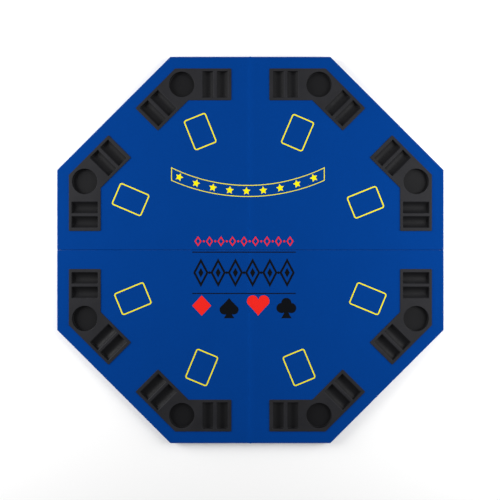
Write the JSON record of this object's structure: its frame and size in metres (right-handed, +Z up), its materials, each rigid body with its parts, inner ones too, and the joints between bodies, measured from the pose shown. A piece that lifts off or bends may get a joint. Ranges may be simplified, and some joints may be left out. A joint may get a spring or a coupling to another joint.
{
  "type": "folding poker table top",
  "caption": "Octagonal felt table top in hinged panels that fold to a quarter, with V-shaped chip and cup trays let into its corners.",
  "frame": {"origin": "on the ground under the middle of the opened table top, in the plane of the feet's bottoms", "axes": "+Z up through the felt, +X to the right along the seam between the halves, +Y to the back along the cloth fold"},
  "size_m": [1.22, 1.22, 0.0248],
  "materials": {
    "fibreboard": "raw fibreboard, matte",
    "foam": "closed-cell foam underlay, matte",
    "felt": "blue needled felt, matte, with printed layout",
    "tray_plastic": "charcoal black moulded plastic, fine texture",
    "hinge_steel": "zinc-plated rolled steel",
    "screw_zinc": "bright zinc plate",
    "rubber": "matte black rubber"
  },
  "bodies": {
    "back_left": {"board_back_left": "fibreboard", "foam_back_left": "foam", "felt_back_left": "felt", "tray_back_left_side": "tray_plastic", "tray_back_left_end": "tray_plastic", "hinge_leaf_back_1": "hinge_steel", "hinge_leaf_back_2": "hinge_steel", "hinge_pin_1": "hinge_steel", "hinge_pin_2": "hinge_steel", "hinge_screws_back": "screw_zinc", "feet_back_left": "rubber", "foot_washers_back_left": "screw_zinc", "foot_screws_back_left": "screw_zinc", "hem_staples_back_left": "screw_zinc"},
    "back_right": {"board_back_right": "fibreboard", "foam_back_right": "foam", "felt_back_right": "felt", "tray_back_right_side": "tray_plastic", "tray_back_right_end": "tray_plastic", "feet_back_right": "rubber", "foot_washers_back_right": "screw_zinc", "foot_screws_back_right": "screw_zinc", "hem_staples_back_right": "screw_zinc"},
    "front_left": {"board_front_left": "fibreboard", "foam_front_left": "foam", "felt_front_left": "felt", "tray_front_left_side": "tray_plastic", "tray_front_left_end": "tray_plastic", "hinge_leaf_front_1": "hinge_steel", "hinge_leaf_front_2": "hinge_steel", "hinge_screws_front": "screw_zinc", "feet_front_left": "rubber", "foot_washers_front_left": "screw_zinc", "foot_screws_front_left": "screw_zinc", "hem_staples_front_left": "screw_zinc"},
    "front_right": {"board_front_right": "fibreboard", "foam_front_right": "foam", "felt_front_right": "felt", "tray_front_right_side": "tray_plastic", "tray_front_right_end": "tray_plastic", "feet_front_right": "rubber", "foot_washers_front_right": "screw_zinc", "foot_screws_front_right": "screw_zinc", "hem_staples_front_right": "screw_zinc"}
  },
  "joints": [
    {"name": "fold_seam", "type": "hinge", "parent": "back_left", "child": "front_left", "pos_m": [0, 0, 0.00375], "axis": [1, 0, 0], "range_deg": [0, 180]},
    {"name": "fold_back", "type": "hinge", "parent": "back_left", "child": "back_right", "pos_m": [0, 0, 0.0252], "axis": [0, -1, 0], "range_deg": [0, 180]},
    {"name": "fold_front", "type": "hinge", "parent": "front_left", "child": "front_right", "pos_m": [0, 0, 0.0252], "axis": [0, -1, 0], "range_deg": [0, 180]}
  ]
}
